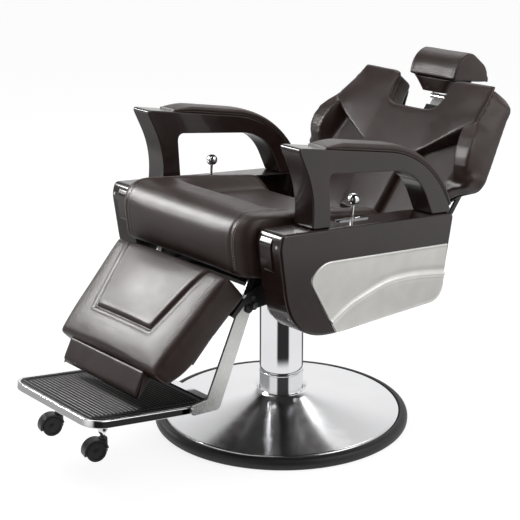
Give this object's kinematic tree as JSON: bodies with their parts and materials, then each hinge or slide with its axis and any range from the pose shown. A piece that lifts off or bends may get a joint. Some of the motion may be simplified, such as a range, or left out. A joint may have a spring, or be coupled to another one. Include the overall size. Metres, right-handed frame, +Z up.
{
  "type": "hydraulic barber chair",
  "caption": "Reclining barber chair on a round pump base: padded seat, Y-panelled back and headrest, moulded side housings, raised armrests, leg rest and castored footrest.",
  "frame": {"origin": "centre of the base ring's underside, on the floor under the column axis", "axes": "+Z up along the column, -Y towards the footrest, +X towards the sitter's left"},
  "size_m": [0.6899, 1.4435, 0.9379],
  "materials": {
    "leather": "espresso leather, satin, fine grain",
    "lacquer": "dark brown gloss lacquer",
    "inlay": "satin silver pressed metal",
    "chrome": "mirror chrome",
    "brushed": "brushed flat steel",
    "steel": "black powder coat",
    "zinc": "zinc plated fasteners",
    "rubber": "black satin rubber",
    "plastic": "black satin plastic",
    "bronze": "bronze washer",
    "board": "plywood"
  },
  "bodies": {
    "base": {"base_ring": "rubber", "base_dish": "chrome", "base_plate": "steel", "base_bolts": "zinc", "pump_cylinder": "zinc", "pump_collar": "chrome", "pedal_bracket": "steel"},
    "pedal": {"pedal_lever": "chrome", "pedal_pad": "rubber"},
    "lift": {"pump_ram": "chrome", "column_sleeve": "chrome", "thrust_washer": "bronze"},
    "seat": {"swivel_hub": "steel", "seat_plate": "steel", "chassis": "steel", "chassis_bolts": "zinc", "side_housing_left": "lacquer", "side_housing_right": "lacquer", "housing_inlay_left": "inlay", "housing_inlay_right": "inlay", "housing_screws": "zinc", "armrest_left": "lacquer", "armrest_right": "lacquer", "arm_pad_left": "leather", "arm_pad_right": "leather", "arm_bolts": "zinc", "lever_plates": "chrome", "seat_board": "board", "seat_cushion": "leather", "pivot_pins": "zinc", "recline_cylinder": "steel"},
    "left_lever": {"lever_left": "chrome", "lever_ball_left": "chrome"},
    "right_lever": {"lever_right": "chrome", "lever_ball_right": "chrome"},
    "back": {"back_frame": "steel", "back_shell": "plastic", "back_cushion": "leather", "back_panel": "leather", "headrest_socket": "plastic"},
    "head_slide": {"headrest_post": "chrome"},
    "headrest": {"headrest_bracket": "steel", "headrest_cushion": "leather"},
    "legrest": {"legrest_board": "steel", "legrest_cushion": "leather", "legrest_flap": "leather"},
    "leg_bars": {"leg_bar_left": "brushed", "leg_bar_right": "brushed", "leg_brackets": "steel", "link_pins": "zinc", "foot_crossbar": "chrome"},
    "links": {"drive_links": "steel"},
    "rod": {"recline_rod": "chrome"},
    "footrest": {"foot_frame": "chrome", "foot_mat": "rubber", "foot_bolts": "zinc"},
    "fork_left": {"castor_left": "plastic"},
    "fork_right": {"castor_right": "plastic"},
    "wheel_left": {"castor_wheel_left": "rubber"},
    "wheel_right": {"castor_wheel_right": "rubber"}
  },
  "joints": [
    {"name": "pedal_press", "type": "hinge", "parent": "base", "child": "pedal", "pos_m": [-0.0634, 0.05511, 0.114], "axis": [-0.6561, -0.7547, 0], "range_deg": [0, 20], "stiffness_Nm_per_rad": 12, "springref_deg": -8.59},
    {"name": "pump_lift", "type": "slide", "parent": "base", "child": "lift", "axis": [0, 0, 1], "range_m": [0, 0.15]},
    {"name": "seat_swivel", "type": "hinge", "parent": "lift", "child": "seat", "pos_m": [0, 0, 0.39], "axis": [0, 0, 1], "continuous": true},
    {"name": "lever_left_tilt", "type": "hinge", "parent": "seat", "child": "left_lever", "pos_m": [0.275, -0.02235, 0.56293], "axis": [-1, 0, 0], "range_deg": [-12, 12], "stiffness_Nm_per_rad": 3},
    {"name": "lever_right_tilt", "type": "hinge", "parent": "seat", "child": "right_lever", "pos_m": [-0.275, -0.02235, 0.56293], "axis": [-1, 0, 0], "range_deg": [-12, 12], "stiffness_Nm_per_rad": 3},
    {"name": "back_recline", "type": "hinge", "parent": "seat", "child": "back", "pos_m": [0, 0.24671, 0.50784], "axis": [-1, 0, 0], "range_deg": [-25, 20]},
    {"name": "headrest_height", "type": "slide", "parent": "back", "child": "head_slide", "axis": [0, 0.6266, 0.7793], "range_m": [-0.02, 0.08]},
    {"name": "headrest_tilt", "type": "hinge", "parent": "head_slide", "child": "headrest", "pos_m": [0, 0.6018, 0.80745], "axis": [-1, 0, 0], "range_deg": [-25, 25]},
    {"name": "legrest_swing", "type": "hinge", "parent": "seat", "child": "legrest", "pos_m": [0, -0.28753, 0.46501], "axis": [-1, 0, 0], "range_deg": [-15.5, 12.5]},
    {"name": "leg_bar_swing", "type": "hinge", "parent": "seat", "child": "leg_bars", "pos_m": [0, -0.22623, 0.51958], "axis": [-1, 0, 0], "range_deg": [-15.5, 12.5]},
    {"name": "drive_link_pivot", "type": "hinge", "parent": "back", "child": "links", "pos_m": [0, 0.22243, 0.45738], "axis": [-1, 0, 0], "range_deg": [-21, 26]},
    {"name": "recline_rod_slide", "type": "slide", "parent": "seat", "child": "rod", "axis": [0, 0.9993, 0.0363], "range_m": [-0.02, 0.025]},
    {"name": "footrest_fold", "type": "hinge", "parent": "leg_bars", "child": "footrest", "pos_m": [0, -0.44944, 0.20284], "axis": [-1, 0, 0], "range_deg": [0, 8]},
    {"name": "castor_left_swivel", "type": "hinge", "parent": "footrest", "child": "fork_left", "pos_m": [0.095, -0.65073, 0.22246], "axis": [0, 0, 1], "continuous": true},
    {"name": "castor_left_roll", "type": "hinge", "parent": "fork_left", "child": "wheel_left", "pos_m": [0.09, -0.67003, 0.13646], "axis": [0.968, -0.2508, 0], "continuous": true},
    {"name": "castor_right_swivel", "type": "hinge", "parent": "footrest", "child": "fork_right", "pos_m": [-0.095, -0.65073, 0.22246], "axis": [0, 0, 1], "continuous": true},
    {"name": "castor_right_roll", "type": "hinge", "parent": "fork_right", "child": "wheel_right", "pos_m": [-0.1, -0.67003, 0.13646], "axis": [0.968, -0.2508, 0], "continuous": true}
  ],
  "couplings": [
    {"joint": "legrest_swing", "follows": "back_recline", "ratio": 0.6},
    {"joint": "leg_bar_swing", "follows": "back_recline", "ratio": 0.6},
    {"joint": "drive_link_pivot", "follows": "back_recline", "ratio": -1},
    {"joint": "recline_rod_slide", "follows": "back_recline", "m_per_rad": -0.0546}
  ]
}
